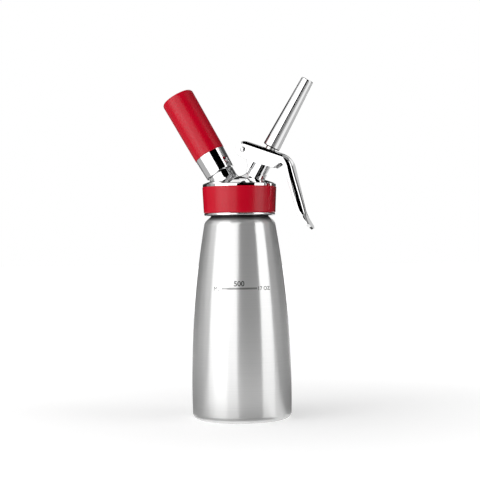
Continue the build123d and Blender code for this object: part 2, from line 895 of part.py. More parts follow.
def charger_outline(inset):
    """Half the cartridge's outline or, inset by its wall, its inside: round end, body, shoulder, neck."""
    radius = charger_radius - inset
    neck = charger_neck_radius - min(inset, charger_neck_wall)
    neck_top = charger_tip + charger_neck_length + inset / 2
    body_foot = neck_top + charger_shoulder
    middle_z = (neck_top + body_foot) / 2
    middle = (radius + neck) / 2
    dome_centre = charger_end - charger_radius
    dome_top = dome_centre + sqrt(radius**2 - dome_flat**2)
    return [
        Line((0, charger_tip), (neck, charger_tip)),
        Line((neck, charger_tip), (neck, neck_top)),
        TangentArc((neck, neck_top), (middle, middle_z), tangent=(0, 1)),
        TangentArc((radius, body_foot), (middle, middle_z), tangent=(0, -1)),
        Line((radius, body_foot), (radius, dome_centre)),
        ThreePointArc(
            (radius, dome_centre),
            (radius * sin(pi / 4), dome_centre + radius * cos(pi / 4)),
            (dome_flat, dome_top),
        ),
        Line((dome_flat, dome_top), (0, dome_top)),
        Line((0, dome_top), (0, charger_tip)),
    ]


def make_gas_charger():
    """Hollow steel cartridge."""
    return spun(charger_outline(0)) - spun(charger_outline(charger_wall))


def make_charger_cap():
    """Closure in the cartridge's neck, pierced by the needle."""
    outer = charger_neck_radius - charger_neck_wall - seat_fit
    top = charger_tip + charger_cap_thickness
    return turned((seal_hole, charger_tip), (outer, charger_tip), (outer, top), (seal_hole, top))


def make_holder_shell():
    """Polished holder: a skirt screwed on the boss and a closed tube for the cartridge under the grip."""
    return turned(
        (holder_bore, holder_rim),
        (holder_rim_radius, holder_rim, holder_rim_round),
        (holder_skirt_radius, grip_start),
        (grip_seat, grip_start),
        (grip_seat, holder_end),
        (0, holder_end),
        (0, holder_floor),
        (holder_chamber, holder_floor),
        (holder_chamber, holder_thread_end),
        (holder_bore, holder_thread_end),
    )


def make_holder_grip():
    """Silicone sleeve over the holder's tube, closed over its end."""
    edge = grip_end - grip_end_crown
    edges = [
        Line((grip_bore, grip_start), (grip_start_radius, grip_start)),
        Line((grip_start_radius, grip_start), (grip_top_radius, edge)),
        *dome_edge(grip_end, grip_top_radius, grip_end_crown),
        Line((0, grip_end), (0, holder_end)),
        Line((0, holder_end), (grip_bore, holder_end)),
        Line((grip_bore, holder_end), (grip_bore, grip_start)),
    ]
    rounds = [((grip_top_radius, edge), grip_end_round), ((grip_start_radius, grip_start), grip_start_round)]
    return spun(edges, rounds)


upright_pieces = {
    "bottle": make_bottle,
    "head_gasket": make_head_gasket,
    "head_casting": make_head_casting,
    "grip_band": make_grip_band,
}
valve_pieces = {
    "valve_stem": make_valve_stem,
    "stem_bush": make_stem_bush,
    "stem_seal": make_stem_seal,
    "valve_spring": make_valve_spring,
    "disc_seal": make_disc_seal,
    "valve_disc": make_valve_disc,
    "disc_nut": make_disc_nut,
    "nozzle": make_nozzle,
    "nozzle_seal": make_nozzle_seal,
    "lever_pin": make_lever_pin,
}
charger_pieces = {
    "piercing_pin": make_piercing_pin,
    "charger_seal": make_charger_seal,
    "check_flap": make_check_flap,
    "check_screw": make_check_screw,
    "gas_charger": make_gas_charger,
    "charger_cap": make_charger_cap,
    "holder_shell": make_holder_shell,
    "holder_grip": make_holder_grip,
}
frames = [
    (Plane.XY, upright_pieces),
    (valve_frame, valve_pieces),
    (charger_frame, charger_pieces),
    (lever_frame, {"lever": make_lever}),
]

os.makedirs("parts", exist_ok=True)
for frame, pieces in frames:
    for node, make in pieces.items():
        export_step(frame.location * make(), f"parts/{node}.step")
print(f"least gap between the spring's turns: {spring_gap():.2f} mm")
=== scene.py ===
# %% [markdown]
# # A cream whipper around its CAD frame
# The imported CAD model is a fixed frame: every solid is already in its place, in metres, and rides
# on its body. What is left to Blender is the look: the finishes, the screw threads, the wound
# spring, the fill mark, the studio and the camera.

# %% Load the frame
import json
from math import cos, pi, radians, sin

import bmesh
import bpy
from mathutils import Matrix, Vector


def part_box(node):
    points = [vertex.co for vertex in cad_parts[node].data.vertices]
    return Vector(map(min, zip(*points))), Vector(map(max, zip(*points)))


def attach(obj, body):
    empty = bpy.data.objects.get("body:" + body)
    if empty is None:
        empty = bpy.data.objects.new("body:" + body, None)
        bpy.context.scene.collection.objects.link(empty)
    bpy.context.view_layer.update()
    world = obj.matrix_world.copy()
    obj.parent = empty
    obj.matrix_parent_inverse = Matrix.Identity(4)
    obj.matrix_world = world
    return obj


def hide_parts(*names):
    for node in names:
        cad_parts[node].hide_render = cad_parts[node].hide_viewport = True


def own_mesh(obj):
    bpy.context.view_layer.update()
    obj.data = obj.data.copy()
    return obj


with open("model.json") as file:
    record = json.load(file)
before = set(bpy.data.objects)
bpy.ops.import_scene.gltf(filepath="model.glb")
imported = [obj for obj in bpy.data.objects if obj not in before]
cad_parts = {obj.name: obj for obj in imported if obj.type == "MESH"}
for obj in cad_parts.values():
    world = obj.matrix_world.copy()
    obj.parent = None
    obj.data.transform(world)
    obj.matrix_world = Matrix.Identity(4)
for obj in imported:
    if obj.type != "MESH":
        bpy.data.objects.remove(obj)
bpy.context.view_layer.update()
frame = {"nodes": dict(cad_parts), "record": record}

nodes = frame["nodes"]

# %% [markdown]
# ## Camera
# The photograph is taken from a little to the right of the front, level, at about half the
# whipper's height. A long lens from about a metre keeps the bottle's foot and rim nearly flat.
# The whipper leans by less than a degree in the frame, so the camera is rolled by that much.

# %% Camera
frame_px = 480
focal_px = 1253
eye_azimuth = radians(15)
eye_distance = 1.05
eye_height = 0.14875
eye_roll = -0.0135

camera_data = bpy.data.cameras.new("camera")
camera_data.lens = camera_data.sensor_width * focal_px / frame_px
camera = bpy.data.objects.new("camera", camera_data)
bpy.context.collection.objects.link(camera)
turned_round = Matrix.Rotation(eye_azimuth, 4, "Z")
stood_back = Matrix.Translation((0, -eye_distance, eye_height))
levelled = Matrix.Rotation(pi / 2, 4, "X") @ Matrix.Rotation(eye_roll, 4, "Z")
camera.matrix_world = turned_round @ stood_back @ levelled
bpy.context.scene.camera = camera
print(f"lens {camera_data.lens:.1f} mm")

# %% [markdown]
# ## Writing shaders as sums
# A finish is a small tree of nodes. Wrapping a socket in a class lets a sum such as `1 - mask` add
# its own Math nodes, and one method adds any other node: its settings first, then the values or
# links of its sockets.


# %% Shader values
class Value:
    """An output socket of a node tree; sums on it add Math nodes."""

    def __init__(self, tree, socket=None):
        self.tree = tree
        self.socket = socket

    def node(self, kind, settings=None, inputs=None, out=0):
        """Add a node, set it up, fill or link its inputs, and return one of its outputs."""
        made = self.tree.nodes.new(kind)
        for name, setting in (settings or {}).items():
            setattr(made, name, setting)
        for key, value in (inputs or {}).items():
            if isinstance(value, Value):
                self.tree.links.new(value.socket, made.inputs[key])
            else:
                made.inputs[key].default_value = value
        return Value(self.tree, made.outputs[out] if made.outputs else None)

    def maths(self, operation, first, second):
        return self.node("ShaderNodeMath", {"operation": operation}, {0: first, 1: second})

    def __add__(self, other):
        return self.maths("ADD", self, other)

    def __sub__(self, other):
        return self.maths("SUBTRACT", self, other)

    def __rsub__(self, other):
        return self.maths("SUBTRACT", other, self)

    def __mul__(self, other):
        return self.maths("MULTIPLY", self, other)

    __radd__ = __add__
    __rmul__ = __mul__


# %% [markdown]
# ## Words for finishes
# Every finish here is a tone and a roughness that change a little over the surface. A few helpers
# say that in one line each: a place on the piece, a noise stretched along it, a colour between two
# others, and a Principled surface with named sockets.


# %% Finish helpers
def new_finish(name):
    """A material with an empty tree, and the value that its nodes start from."""
    material = bpy.data.materials.new(name)
    material.use_nodes = True
    material.node_tree.nodes.clear()
    return material, Value(material.node_tree)


def own_place(start):
    """The place on a piece, in its own metres."""
    return start.node("ShaderNodeTexCoord", out="Object")


def grain(start, scale, turn=(0, 0, 0), detail=3.0):
    """Noise on Object coordinates, stretched by a scale per axis, from 0 to 1."""
    mapping = {"Vector": own_place(start), "Rotation": turn, "Scale": scale}
    place = start.node("ShaderNodeMapping", None, mapping)
    noise = {"Vector": place, "Scale": 1.0, "Detail": detail}
    return start.node("ShaderNodeTexNoise", None, noise)


def between(start, factor, low, high):
    """A colour between two others, each a value or three numbers."""
    low, high = (tone if isinstance(tone, Value) else (*tone, 1) for tone in (low, high))
    return start.node(
        "ShaderNodeMix", {"data_type": "RGBA"}, {0: factor, 6: low, 7: high}, out=2
    )


def bump(start, height, strength):
    """A normal that follows a height of up to a tenth of a millimetre."""
    relief = {"Height": height, "Strength": strength, "Distance": 0.0001}
    return start.node("ShaderNodeBump", None, relief)


def surface(start, **sockets):
    """A Principled surface; socket names are written with _ for a space."""
    inputs = {name.replace("_", " "): value for name, value in sockets.items()}
    return start.node("ShaderNodeBsdfPrincipled", None, inputs)


def coat(start, **sockets):
    """A Principled surface as the whole finish."""
    start.node("ShaderNodeOutputMaterial", None, {"Surface": surface(start, **sockets)})


# %% [markdown]
# ## Studio
# Polished metal shows whatever stands round it, so the studio is built for its reflections, from
# curved cards on a circle round the whipper. Point lights would leave only dots on the steel, and
# a picture of a studio couldn't be tuned. A card is given by the azimuths and heights that it
# covers, and by how strongly it glows. The camera doesn't see any of them.

# %% Stage pieces
studio_radius = 1.4


def stage_mesh(name, points, faces, level):
    """A stage object that glows at a level, black at 0, unseen by the camera."""
    mesh = bpy.data.meshes.new(name)
    mesh.from_pydata(points, [], faces)
    card = bpy.data.objects.new(name, mesh)
    bpy.context.collection.objects.link(card)
    material, start = new_finish(name)
    glow = {"Color": (1, 1, 1, 1), "Strength": level}
    lit = start.node("ShaderNodeEmission", None, glow)
    start.node("ShaderNodeOutputMaterial", None, {"Surface": lit})
    mesh.materials.append(material)
    card.visible_camera = False
    return card


def ring_card(name, first, last, inner, outer, level):
    """A card between two rings, each a radius and a height, from one azimuth to another.

    An azimuth is in degrees from the front toward the nozzle, or a pair where the rings differ.
    """
    steps = 12
    points = []
    for k in range(steps + 1):
        for side, (radius, height) in enumerate((inner, outer)):
            start, end = (a[side] if isinstance(a, tuple) else a for a in (first, last))
            angle = radians(start + (end - start) * k / steps)
            points.append((radius * sin(angle), -radius * cos(angle), height))
    faces = [(2 * k, 2 * k + 2, 2 * k + 3, 2 * k + 1) for k in range(steps)]
    return stage_mesh(name, points, faces, level)


# %% [markdown]
# A wide softbox, strongest in its middle, stands left of the camera, and a narrow one on its right.
# They draw the two white stripes down the bottle. The black flag between them draws the dark
# stripe, also on the holder and the nozzle. Grey walls beside the softboxes shade the bottle's
# edges. Behind the whipper, dark flags draw the outlines of the polished pieces, and two lighter
# cards keep the lever's handle and its paddle bright.

# %% Softboxes, walls and flags
foot, top = 0.02, 1.5
wall_split = 0.5
flag_foot = 0.45
bar_foot = 0.63
back_split = 0.34

# name: first and last azimuth, lower and upper height, level
cards = {
    "softbox_left": (-65, -52, foot, top, 1.7),
    "softbox_left_core": (-52, -20, foot, top, 2.8),
    "softbox_left_inner": (-20, (5, 20), foot, top, 1.7),
    "flag_front": ((5, 20), (62, 73), foot, top, 0.0),
    "softbox_right": ((62, 72), (96, 102), foot, 1.36, 2.0),
    "wall_right": ((96, 103), 125, foot, top, 0.25),
    "flag_right": (125, 164, foot, top, 0.07),
    "wall_left": (-86, -65, foot, wall_split, 0.5),
    "wall_far_left": (-108, -86, foot, wall_split, 0.25),
    "wall_left_high": (-96, -65, wall_split, top, 0.85),
    "flag_left_high": (-108, -96, wall_split, 1.3, 0.03),
    "flag_left": (-165, -108, flag_foot, 1.08, 0.03),
    "flag_left_low": (-135, -108, foot, flag_foot, 0.1),
    "bar_back": (164, 195, bar_foot, 0.91, 0.02),
    "card_back": (177, 184, 0.40, bar_foot, 0.68),
    "card_low": (164, 177, back_split, 0.485, 0.6),
    "flag_back": (184, 252, foot, bar_foot, 0.02),
    "flag_low": (164, 184, foot, back_split, 0.02),
}
for name, (first, last, low, high, level) in cards.items():
    ring_card(name, first, last, (studio_radius, low), (studio_radius, high), level)
print(len(cards), "cards round the whipper")

# %% [markdown]
# Three flat cards hang overhead: a light one on the left, a black one in the middle and a grey one
# on the right. They give the dome and the lever's plate their tones.

# %% Cards overhead
over_height = top + 0.05

# name: left and right end, level
over_cards = {
    "over_left": (-2.0, -0.45, 0.8),
    "over_middle": (-0.45, 0.45, 0.0),
    "over_right": (0.45, 2.0, 0.3),
}
for name, (left, right, level) in over_cards.items():
    front, back = -studio_radius, studio_radius
    corners = [(left, front), (right, front), (right, back), (left, back)]
    stage_mesh(name, [(x, y, over_height) for x, y in corners], [(0, 1, 2, 3)], level)
print(len(over_cards), "cards overhead")

# %% [markdown]
# The metal mirrors the floor too. On a floor that is white everywhere, the bottle's lower half
# would lose its stripes, so grey and black cloths lie round the foot. They are seen in the metal
# only: the camera and the light on the floor pass through them.

# %% Cloths on the floor
cloth_height = 0.001

# name: first and last azimuth, nearest and farthest radius, level
cloths = {
    # Painted shade: the grey ring round the foot is the shadow at the bottle's foot as the metal
    # sees it.
    "foot_shade_cloth": (-65, 58, 0.042, 0.08, 0.3),
    "cloth_front": (5, 40, 0.24, 0.6, 0.0),
    "cloth_front_right": (40, 58, 0.24, 0.5, 0.0),
    "cloth_front_far": (5, 24, 0.6, studio_radius, 0.0),
    "cloth_middle": (24, 40, 0.6, studio_radius, 0.2),
    "cloth_middle_right": (40, 58, 0.5, studio_radius, 0.5),
    "cloth_right": (58, 100, 0.05, studio_radius, 1.0),
    "cloth_back": (100, 195, 0.05, 0.4, 0.08),
    "cloth_back_far": (100, 160, 0.4, studio_radius, 0.55),
    "cloth_left": (195, 295, 0.05, 0.38, 0.2),
    "cloth_left_middle": (195, 295, 0.38, 0.75, 0.5),
    "cloth_left_far": (195, 295, 0.75, studio_radius, 0.2),
}
for name, (first, last, near, far, level) in cloths.items():
    cloth = ring_card(name, first, last, (near, cloth_height), (far, cloth_height), level)
    cloth.visible_diffuse = False
    cloth.visible_shadow = False
print(len(cloths), "cloths on the floor")

# %% [markdown]
# ## White room
# The whipper stands in a white room. Light Path tells the rays apart: the room is full white for
# the camera, and in metal and through glass, but lights the whipper a little less than that. So
# the background is white without flooding the object with light.


# %% World
def seen_directly(start):
    """1 for rays from the camera, off metal and through glass, and 0 for light on things."""
    rays = ("Is Camera Ray", "Is Glossy Ray", "Is Transmission Ray")
    camera_ray, metal_ray, glass_ray = (start.node("ShaderNodeLightPath", out=ray) for ray in rays)
    return start.maths("MAXIMUM", start.maths("MAXIMUM", camera_ray, metal_ray), glass_ray)


world = bpy.data.worlds.new("white_room")
bpy.context.scene.world = world
world.use_nodes = True
world.node_tree.nodes.clear()
room = Value(world.node_tree)
room_level = 0.7
room_white = room_level + (1 - room_level) * seen_directly(room)
light = room.node("ShaderNodeBackground", None, {"Color": room_white, "Strength": 1.0})
room.node("ShaderNodeOutputWorld", None, {"Surface": light})
bpy.context.scene.view_settings.view_transform = "Standard"
print("room lights at", room_level)

# %% [markdown]
# The floor is matt and pale, and takes the whipper's shadow. On its own it would come out grey, so
# it also has a white of its own, which only the camera and the metal see. That white is weaker
# round the foot, where the shadow lies, and grows toward the distance.

# %% Floor
floor_half = 6.0
sides = ((-1, -1), (1, -1), (1, 1), (-1, 1))
floor_mesh = bpy.data.meshes.new("floor")
floor_mesh.from_pydata([(x * floor_half, y * floor_half, 0) for x, y in sides], [], [(0, 1, 2, 3)])
floor = bpy.data.objects.new("floor", floor_mesh)
bpy.context.collection.objects.link(floor)

floor_finish, start = new_finish("white_floor")
near_edge, far_edge = 0.05, 0.5
near_white, far_white = 0.48, 0.84
length = {"operation": "LENGTH"}
distance = start.node("ShaderNodeVectorMath", length, {0: own_place(start)}, out="Value")
white_range = {0: distance, 1: near_edge, 2: far_edge, 3: near_white, 4: far_white}
own_white = start.node("ShaderNodeMapRange", None, white_range) * seen_directly(start)
matt = start.node("ShaderNodeBsdfDiffuse", None, {"Color": (0.7, 0.7, 0.7, 1)})
glow = start.node("ShaderNodeEmission", None, {"Color": own_white, "Strength": 1.0})
lit = start.node("ShaderNodeAddShader", None, {0: matt, 1: glow})
start.node("ShaderNodeOutputMaterial", None, {"Surface": lit})
floor_mesh.materials.append(floor_finish)

# %% [markdown]
# ## Brushed steel
# The bottle is brushed round and round, which leaves fine rings. Light spreads across those rings,
# so every reflection is drawn out up and down. Anisotropy does this, and a long thin noise gives
# the rings themselves. Rings made by bump alone would be finer than a pixel and flicker. A rougher
# steel mixed in leaves the soft haze of a brushed wall. From just under the head's skirt up, the
# neck is painted darker, as painted shade from the head. The etched marks are the same steel in two
# darker tones.


# %% Brushed bottle
def height_of(start, place):
    return start.node("ShaderNodeSeparateXYZ", None, {0: place}, out="Z")


ring_scale, cloud_scale = (9, 9, 3200), (18, 18, 30)
# Painted shade: from these heights up, the neck and its thread are darkened as the head's shadow.
neck_shade_from, neck_shade_to = 0.1645, 0.1685
painted_neck_shade = (0.2, 0.2, 0.2)
haze_share = 0.42


def brushed_finish(name, low, high):
    """Steel brushed round the bottle's axis, between two tones."""
    material, start = new_finish(name)
    rings = grain(start, ring_scale, detail=4.0)
    clouds = grain(start, cloud_scale)
    tone = between(start, rings * 0.7 + clouds * 0.3, low, high)
    # Painted shade: the neck is darkened toward a dark tone as the head's shadow.
    neck = start.node(
        "ShaderNodeMapRange",
        {"interpolation_type": "SMOOTHSTEP"},
        {0: height_of(start, own_place(start)), 1: neck_shade_from, 2: neck_shade_to},
    )
    tone = between(start, neck, tone, painted_neck_shade)
    brushing = surface(
        start,
        Base_Color=tone,
        Metallic=1.0,
        Roughness=0.22 + 0.05 * rings,
        Anisotropic=1.0,
        Anisotropic_Rotation=0.25,
        Normal=bump(start, rings, 0.05),
    )
    haze = surface(start, Base_Color=tone, Metallic=1.0, Roughness=0.66 + 0.1 * clouds)
    both = start.node("ShaderNodeMixShader", None, {0: haze_share, 1: brushing, 2: haze})
    start.node("ShaderNodeOutputMaterial", None, {"Surface": both})
    return material


brushed = brushed_finish("brushed_steel", (0.74, 0.74, 0.74), (0.86, 0.86, 0.855))
etched_grey = brushed_finish("etched_grey", (0.32, 0.32, 0.32), (0.40, 0.40, 0.40))
etched_dark = brushed_finish("etched_dark", (0.12, 0.12, 0.12), (0.18, 0.18, 0.18))
print("brushed:", brushed.name, etched_grey.name, etched_dark.name)

# %% [markdown]
# ## Polished steel
# The head, lever, nozzle and holder are polished to a mirror, with only faint wiping marks. The
# inside of the head's skirt and the edge at the nozzle's foot are painted near black as painted
# shade, and the rim of the lever's pin as a painted dark reflection. The lip under the grip band
# is a little satin. One finish serves all of them. It takes masks, small functions of the place on
# the piece, so the solids need no textures or seams of their own.


# %% The head: painted shade under its skirt, and its satin lip
def length_of(start, place, axes):
    """How far a place lies from the origin, along the axes that are 1."""
    along = start.node("ShaderNodeVectorMath", {"operation": "MULTIPLY"}, {0: place, 1: axes})
    return start.node("ShaderNodeVectorMath", {"operation": "LENGTH"}, {0: along}, out="Value")


skirt_inside, skirt_top = 0.0289, 0.190
lip_top = 0.1765


def painted_shade_under_head(start, place):
    """The inside and the underside of the head's skirt, where shade is painted."""
    inside = start.maths("LESS_THAN", length_of(start, place, (1, 1, 0)), skirt_inside)
    return inside * start.maths("LESS_THAN", height_of(start, place), skirt_top)


def lip(start, place):
    """The lip under the grip band."""
    return start.maths("LESS_THAN", height_of(start, place), lip_top)


# The head's painted shade lies inside this radius.
print(f"the painted shade starts {1000 * skirt_inside:.1f} mm from the bottle's axis")

# %% The nozzle: painted shade at the edge of its foot
apex = Vector((0, 0, 0.1772))
lean = radians(30)
valve_frame = Matrix.Translation(apex) @ Matrix.Rotation(lean, 4, "Y")
valve_axis = (valve_frame.to_3x3() @ Vector((0, 0, 1))).normalized()
nozzle_start, foot_edge = 0.056007, 0.0009


def painted_shade_at_nozzle_foot(start, place):
    """The turned edge at the nozzle's foot, where shade is painted, measured along the valve's
    leaning axis.
    """
    dot = {"operation": "DOT_PRODUCT"}
    along = start.node("ShaderNodeVectorMath", dot, {0: place, 1: valve_axis}, out="Value")
    return start.maths("LESS_THAN", along, apex.dot(valve_axis) + nozzle_start + foot_edge)


print("valve axis", [round(part, 3) for part in valve_axis])

# %% The lever pin: a painted dark reflection on its rim
pin_low, pin_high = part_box("lever_pin")
pin_centre = tuple((a + b) / 2 for a, b in zip(pin_low, pin_high))
pin_flat = 0.0019


def painted_reflection_on_pin_rim(start, place):
    """The turned rim of the lever pin's ends, where a dark reflection is painted."""
    minus = {"operation": "SUBTRACT"}
    away = start.node("ShaderNodeVectorMath", minus, {0: place, 1: pin_centre})
    return start.maths("GREATER_THAN", length_of(start, away, (1, 0, 1)), pin_flat)


print("the lever pin is", round(1000 * (pin_high[1] - pin_low[1]), 1), "mm long")


# %% Polished steel
def polished_finish(name, painted_dark=None, satin=None):
    """Mirror steel; one mask paints dark shade and dark reflections on it, and another makes it a
    little satin.
    """
    material, start = new_finish(name)
    wiped = grain(start, (45, 45, 45), detail=5.0)
    tone = between(start, wiped, (0.82, 0.82, 0.825), (0.88, 0.88, 0.88))
    rough = 0.03 + 0.04 * wiped
    if painted_dark:
        mask = painted_dark(start, own_place(start))
        # Painted shade and painted dark reflection: the steel is near black and rougher where the
        # mask is.
        painted_dark_tone = between(start, wiped, (0.02, 0.02, 0.02), (0.05, 0.05, 0.05))
        tone = between(start, mask, tone, painted_dark_tone)
        rough = rough + 0.4 * mask
    if satin:
        rough = rough + 0.15 * satin(start, own_place(start))
    coat(start, Base_Color=tone, Metallic=1.0, Roughness=rough)
    return material


polished = polished_finish("mirror_steel")
pin_steel = polished_finish("pin_steel", painted_reflection_on_pin_rim)
head_steel = polished_finish("head_steel", painted_shade_under_head, lip)
nozzle_steel = polished_finish("nozzle_steel", painted_shade_at_nozzle_foot)
print("polished:", polished.name, pin_steel.name, head_steel.name, nozzle_steel.name)

# %% [markdown]
# ## Plain metals
# Inside, nothing is polished. The stem, its disc and the piercing pin are turned, which leaves
# tool rings across the valve's leaning axis. The spring is drawn wire, the cartridge drawn and
# spotted steel, and its cap pressed aluminium. Noises of different sizes tell them apart.

# %% Turned, wound and drawn metal
turned, start = new_finish("turned_steel")
tool_rings = grain(start, (60, 60, 2400), turn=(0, -lean, 0))
coat(
    start,
    Base_Color=between(start, tool_rings, (0.52, 0.52, 0.51), (0.66, 0.66, 0.65)),
    Metallic=1.0,
    Roughness=0.22 + 0.14 * tool_rings,
    Normal=bump(start, tool_rings, 0.08),
)

wire, start = new_finish("spring_wire")
drawn = grain(start, (500, 500, 500))
coat(
    start,
    Base_Color=between(start, drawn, (0.40, 0.40, 0.40), (0.56, 0.55, 0.54)),
    Metallic=1.0,
    Roughness=0.25 + 0.15 * drawn,
)

cartridge, start = new_finish("cartridge_steel")
spots = grain(start, (240, 240, 240), detail=5.0)
coat(
    start,
    Base_Color=between(start, spots, (0.42, 0.42, 0.40), (0.58, 0.58, 0.56)),
    Metallic=1.0,
    Roughness=0.28 + 0.18 * spots,
)

cap_metal, start = new_finish("pressed_aluminium")
pressed = grain(start, (700, 700, 700))
coat(
    start,
    Base_Color=between(start, pressed, (0.66, 0.66, 0.68), (0.76, 0.76, 0.78)),
    Metallic=1.0,
    Roughness=0.30 + 0.15 * pressed,
)
print("inside:", turned.name, wire.name, cartridge.name, cap_metal.name)

# %% [markdown]
# ## Silicone, rubber and plastic
# The band and the sleeve are moulded silicone, a deep red with a satin skin. One even red would
# look like paint. The skin is never quite even, so a fine noise lifts it and spreads its shine,
# and a coarse one changes the red a little. The seals are plain black rubber, and the guide bush
# is a white plastic with the marks of the lathe.

# %% Red silicone
silicone, start = new_finish("satin_silicone")
skin = grain(start, (2600, 2600, 2600))
cast = grain(start, (60, 60, 60), detail=4.0)
coat(
    start,
    Base_Color=between(start, cast, (0.59, 0.0, 0.015), (0.68, 0.0, 0.022)),
    Roughness=0.2 + 0.06 * skin + 0.04 * cast,
    Specular_IOR_Level=0.32,
    Normal=bump(start, skin, 0.10),
)
print("grips:", silicone.name)

# %% Seal rubber and bush plastic
rubber, start = new_finish("matt_rubber")
moulded = grain(start, (900, 900, 900))
coat(
    start,
    Base_Color=between(start, moulded, (0.016, 0.016, 0.016), (0.035, 0.035, 0.034)),
    Roughness=0.55 + 0.2 * moulded,
    Normal=bump(start, moulded, 0.1),
)

plastic, start = new_finish("bush_plastic")
cut_marks = grain(start, (40, 40, 3000), turn=(0, -lean, 0))
coat(
    start,
    Base_Color=between(start, cut_marks, (0.74, 0.74, 0.69), (0.84, 0.84, 0.80)),
    Roughness=0.4 + 0.15 * cut_marks,
)
print("seals and bush:", rubber.name, plastic.name)

# %% [markdown]
# ## Finishes on the CAD solids
# Each solid names its material slot in the record, so one table from slot to finish dresses them
# all. Three polished pieces then get their own finish: the head and the nozzle with painted shade,
# the lever pin with a painted dark reflection.

# %% Dress the solids
finishes = {
    "bottle_steel": brushed,
    "polished_steel": polished,
    "plain_steel": turned,
    "spring_steel": wire,
    "charger_steel": cartridge,
    "cap_aluminium": cap_metal,
    "red_silicone": silicone,
    "seal_rubber": rubber,
    "bush_polymer": plastic,
}
for piece in frame["record"]["subparts"]:
    nodes[piece["node"]].material_slots[0].material = finishes[piece["material_slot"]]
own_finishes = {"head_casting": head_steel, "nozzle": nozzle_steel, "lever_pin": pin_steel}
for name, own_finish in own_finishes.items():
    nodes[name].material_slots[0].material = own_finish
print(len(finishes) + len(own_finishes), "finishes on", len(nodes), "solids")

# %% [markdown]
# ## Screw threads
# The neck, the charger spigot and the valve stem carry right-hand screw threads, which show when
# the head, the holder or the nozzle is screwed off. In the frame they are plain cylinders. Here a
# trapezium is swept along a helix on each of them, and it shrinks into the metal at both ends,
# where a real thread runs out. A Screw modifier could wind them too, but not let them run out. One
# Geometry Nodes tree makes all three, so a thread is only a list of sizes.

# %% Trees that make geometry
number, finish = "NodeSocketFloat", "NodeSocketMaterial"


def new_tree(name, inputs):
    """A Geometry Nodes tree with named inputs, and the value of each of them."""
    tree = bpy.data.node_groups.new(name, "GeometryNodeTree")
    for label, kind in inputs.items():
        tree.interface.new_socket(label, in_out="INPUT", socket_type=kind)
    tree.interface.new_socket("Geometry", in_out="OUTPUT", socket_type="NodeSocketGeometry")
    group = tree.nodes.new("NodeGroupInput")
    return tree, {label: Value(tree, group.outputs[label]) for label in inputs}


def close_tree(shape, material):
    """End a tree: realize the shape and give it its finish."""
    shape = shape.node("GeometryNodeRealizeInstances", None, {"Geometry": shape})
    shape = shape.node("GeometryNodeSetMaterial", None, {"Geometry": shape, "Material": material})
    shape.node("NodeGroupOutput", None, {"Geometry": shape})


def baked(name, tree, sizes, place, sharp):
    """The plain mesh that a tree makes from its sizes, moved to its place."""
    piece = bpy.data.objects.new(name, bpy.data.meshes.new(name))
    bpy.context.collection.objects.link(piece)
    modifier = piece.modifiers.new(name, "NODES")
    modifier.node_group = tree
    for socket in tree.interface.items_tree:
        if socket.in_out == "INPUT":
            modifier[socket.identifier] = sizes[socket.name]
    made = piece.evaluated_get(bpy.context.evaluated_depsgraph_get())
    mesh = bpy.data.meshes.new_from_object(made)
    piece.modifiers.remove(modifier)
    piece.data = mesh
    mesh.transform(place)
    mesh.shade_smooth()
    mesh.set_sharp_from_angle(angle=sharp)
    print(name, len(mesh.polygons), "faces,", mesh.materials[0].name)
    return piece


# %% [markdown]
# The ridge stands on a root that is sunk a little into the cylinder, so that no gap shows. Its
# size along the helix grows from almost nothing to full over half a turn, and back again at the
# other end.

# %% Thread tree
thread_steps = 64
run_out_turns = 0.5
least_ridge = 0.05

size_names = ("Radius", "Pitch", "Length", "Ridge", "Sink", "Foot", "Crest")
thread_inputs = {**dict.fromkeys(size_names, number), "Finish": finish}
thread_tree, size = new_tree("screw_thread", thread_inputs)
start = Value(thread_tree)
turns = start.maths("DIVIDE", size["Length"], size["Pitch"])
root = size["Radius"] - size["Sink"]
helix = start.node(
    "GeometryNodeCurveSpiral",
    None,
    {
        "Resolution": thread_steps,
        "Rotations": turns,
        "Start Radius": root,
        "End Radius": root,
        "Height": size["Length"],
        "Reverse": True,
    },
)
helix = start.node("GeometryNodeSetCurveNormal", {"mode": "Z_UP"}, {"Curve": helix})
height = size["Ridge"] + size["Sink"]
ridge = start.node(
    "GeometryNodeCurvePrimitiveQuadrilateral",
    {"mode": "TRAPEZOID"},
    {"Bottom Width": size["Foot"], "Top Width": size["Crest"], "Height": height, "Offset": 0.0},
)
outwards = start.node("ShaderNodeCombineXYZ", None, {"X": height * 0.5})
laid = {"Geometry": ridge, "Translation": outwards, "Rotation": (0, 0, -pi / 2)}
ridge = start.node("GeometryNodeTransform", None, laid)
share = start.node("GeometryNodeSplineParameter", out="Factor")
run_out = start.maths("MINIMUM", share, 1 - share) * turns * (1 / run_out_turns)
run_out = start.maths("MINIMUM", start.maths("MAXIMUM", run_out, least_ridge), 1.0)
swept = {"Curve": helix, "Profile Curve": ridge, "Scale": run_out, "Fill Caps": True}
close_tree(start.node("GeometryNodeCurveToMesh", None, swept), size["Finish"])
print(thread_tree.name, len(thread_tree.nodes), "nodes")

# %% The three threads
charger_frame = Matrix.Translation(apex) @ Matrix.Rotation(-lean, 4, "Y")
thread_edge = radians(30)

